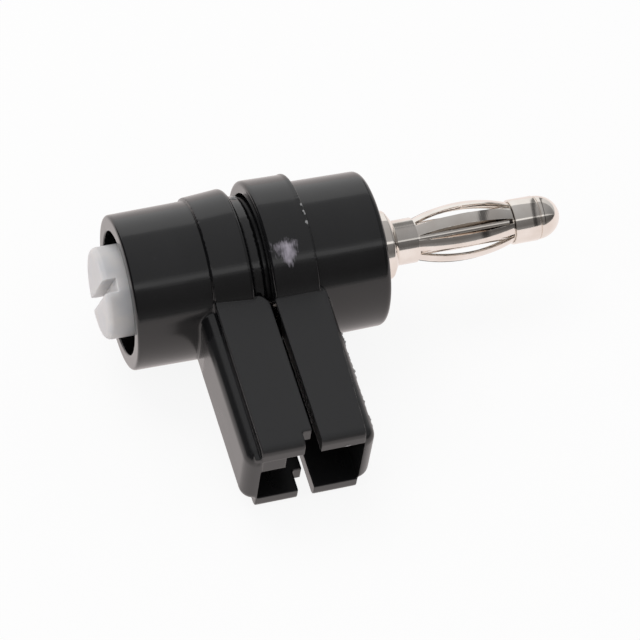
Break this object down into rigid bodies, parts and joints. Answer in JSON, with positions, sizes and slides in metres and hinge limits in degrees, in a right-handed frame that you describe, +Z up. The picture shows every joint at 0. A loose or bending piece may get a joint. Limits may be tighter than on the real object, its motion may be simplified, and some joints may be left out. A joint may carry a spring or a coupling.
{
  "type": "side-entry banana plug",
  "caption": "Insulated right-angle 4 mm plug: two black moulded shells with half sleeves for the cable, white slotted nylon screw and nickel lantern-spring pin.",
  "frame": {"origin": "on the plug axis, in the face of the front shell that the pin leaves", "axes": "+X along the plug axis towards the pin's tip; +Z up as the plug rests on a table; the cable sleeve runs to -Y and slopes down about 9.7 degrees, so that the front shell's band and the sleeve's end touch the table"},
  "size_m": [0.0374, 0.0255, 0.0136],
  "materials": {
    "black_polyamide": "semi-gloss moulded black polyamide with fine flow marks",
    "nickel_plate": "bright nickel plating on turned and rolled copper alloy",
    "natural_nylon": "natural white, slightly translucent nylon with a soft sheen"
  },
  "bodies": {
    "front": {"front_shell": "black_polyamide", "terminal_body": "nickel_plate", "contact_pin": "nickel_plate", "lantern_spring": "nickel_plate", "tip_cap": "nickel_plate"},
    "rear": {"rear_shell": "black_polyamide"},
    "screw": {"housing_screw": "natural_nylon"}
  },
  "joints": [
    {"name": "rear_slide", "type": "slide", "parent": "front", "child": "rear", "axis": [1, 0, 0], "range_m": [-0.004, 0.00045]},
    {"name": "screw_turn", "type": "hinge", "parent": "rear", "child": "screw", "pos_m": [-0.01995, 0, 0], "axis": [1, 0, 0], "range_deg": [-2058, 232]}
  ],
  "couplings": [
    {"joint": "screw_turn", "follows": "rear_slide", "rad_per_m": 8976}
  ]
}
